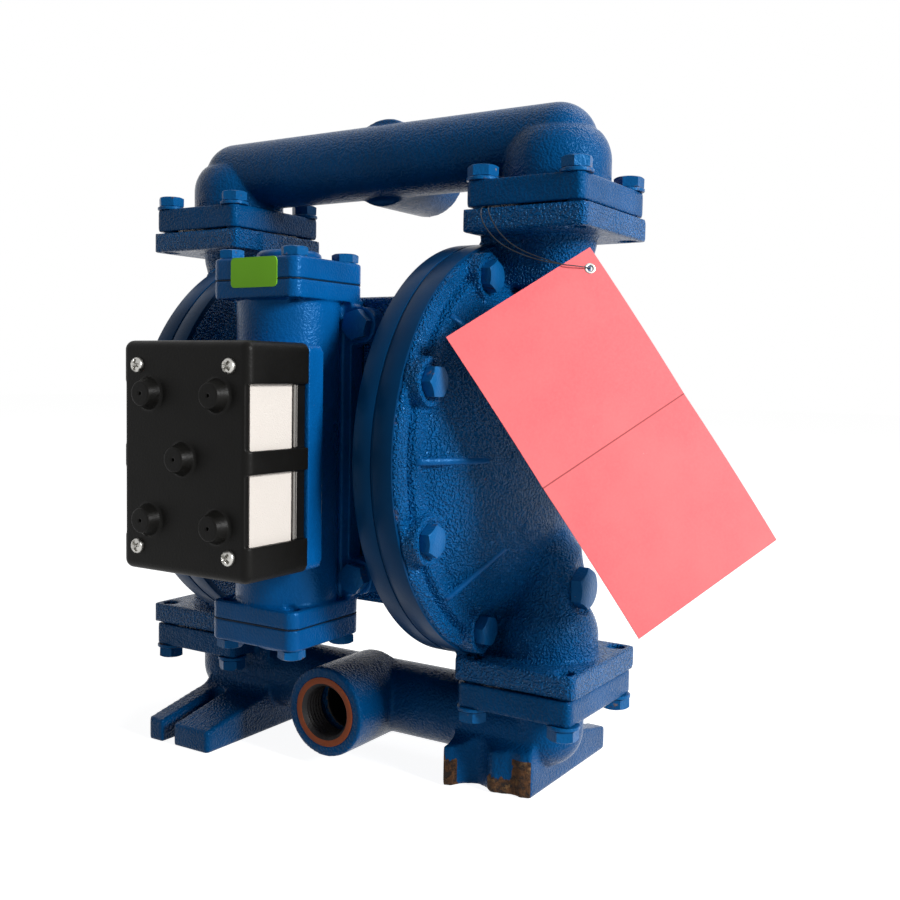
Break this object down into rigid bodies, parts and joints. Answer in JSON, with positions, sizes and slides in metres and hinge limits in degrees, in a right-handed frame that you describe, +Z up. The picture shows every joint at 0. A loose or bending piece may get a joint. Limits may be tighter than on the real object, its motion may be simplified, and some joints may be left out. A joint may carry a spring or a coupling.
{
  "type": "air operated diaphragm pump",
  "caption": "Blue cast double diaphragm pump with ball check manifolds, a side valve and black muffler, slotted feet (one broken) and a blank card tag on a wire.",
  "frame": {"origin": "under the middle of the pump box in plan, on the mounting plane of the feet", "axes": "+X towards the right chamber, along the diaphragm rod; -Y towards the valve, muffler and suction port; +Z up"},
  "size_m": [0.3375, 0.2492, 0.33],
  "materials": {
    "blue_paint": "gloss",
    "black_rubber": "matte",
    "white_ptfe": "satin",
    "bare_steel": "satin",
    "zinc_steel": "satin",
    "plate_aluminium": "satin",
    "black_plastic": "satin",
    "white_element": "matte",
    "pink_card": "matte",
    "green_label": "gloss"
  },
  "bodies": {
    "pump": {"cap_gasket_bottom": "black_rubber", "cap_gasket_top": "black_rubber", "cap_label": "green_label", "cap_screws_bottom": "blue_paint", "cap_screws_top": "blue_paint", "centre_housing": "blue_paint", "diaphragm_left": "black_rubber", "diaphragm_right": "black_rubber", "discharge_bolts": "blue_paint", "discharge_manifold": "blue_paint", "discharge_seat_left": "white_ptfe", "discharge_seat_right": "white_ptfe", "discharge_washers": "blue_paint", "drain_plug_left": "blue_paint", "drain_plug_right": "blue_paint", "hang_tag": "pink_card", "inner_chamber_left": "blue_paint", "inner_chamber_right": "blue_paint", "lobe_studs_left": "bare_steel", "lobe_studs_right": "bare_steel", "muffler_cover": "black_plastic", "muffler_element": "white_element", "muffler_screws": "zinc_steel", "outer_chamber_left": "blue_paint", "outer_chamber_right": "blue_paint", "ring_bolts_left": "blue_paint", "ring_bolts_right": "blue_paint", "rod_seal_left": "black_rubber", "rod_seal_right": "black_rubber", "suction_bolts": "blue_paint", "suction_manifold": "blue_paint", "suction_seat_left": "white_ptfe", "suction_seat_right": "white_ptfe", "suction_washers": "blue_paint", "tag_eyelet": "zinc_steel", "tag_wire": "zinc_steel", "valve_body": "blue_paint", "valve_body_bolts": "blue_paint", "valve_cap_bottom": "blue_paint", "valve_cap_top": "blue_paint", "valve_gasket": "black_rubber", "valve_sleeve": "plate_aluminium"},
    "rod_set": {"diaphragm_rod": "bare_steel", "inner_plate_left": "plate_aluminium", "inner_plate_right": "plate_aluminium", "outer_plate_left": "plate_aluminium", "outer_plate_right": "plate_aluminium"},
    "pilot_valve": {"pilot_spool": "bare_steel", "pilot_plunger_left": "bare_steel", "pilot_plunger_right": "bare_steel"},
    "main_spool": {"valve_spool": "bare_steel"},
    "suction_check_left": {"suction_ball_left": "white_ptfe"},
    "suction_check_right": {"suction_ball_right": "white_ptfe"},
    "discharge_check_left": {"discharge_ball_left": "white_ptfe"},
    "discharge_check_right": {"discharge_ball_right": "white_ptfe"}
  },
  "joints": [
    {"name": "rod_slide", "type": "slide", "parent": "pump", "child": "rod_set", "axis": [1, 0, 0], "range_m": [-0.008, 0.008], "stiffness_N_per_m": 600, "deforming": ["diaphragm_left", "diaphragm_right"]},
    {"name": "pilot_slide", "type": "slide", "parent": "pump", "child": "pilot_valve", "axis": [1, 0, 0], "range_m": [-0.0015, 0.0015]},
    {"name": "spool_slide", "type": "slide", "parent": "pump", "child": "main_spool", "axis": [0, 0, 1], "range_m": [0, 0.012]},
    {"name": "suction_lift_left", "type": "slide", "parent": "pump", "child": "suction_check_left", "axis": [0, 0, 1], "range_m": [0, 0.005]},
    {"name": "suction_lift_right", "type": "slide", "parent": "pump", "child": "suction_check_right", "axis": [0, 0, 1], "range_m": [0, 0.005]},
    {"name": "discharge_lift_left", "type": "slide", "parent": "pump", "child": "discharge_check_left", "axis": [0, 0, 1], "range_m": [0, 0.005]},
    {"name": "discharge_lift_right", "type": "slide", "parent": "pump", "child": "discharge_check_right", "axis": [0, 0, 1], "range_m": [0, 0.005]}
  ],
  "couplings": [
    {"joint": "pilot_slide", "follows": "rod_slide", "ratio": 0.1875}
  ]
}
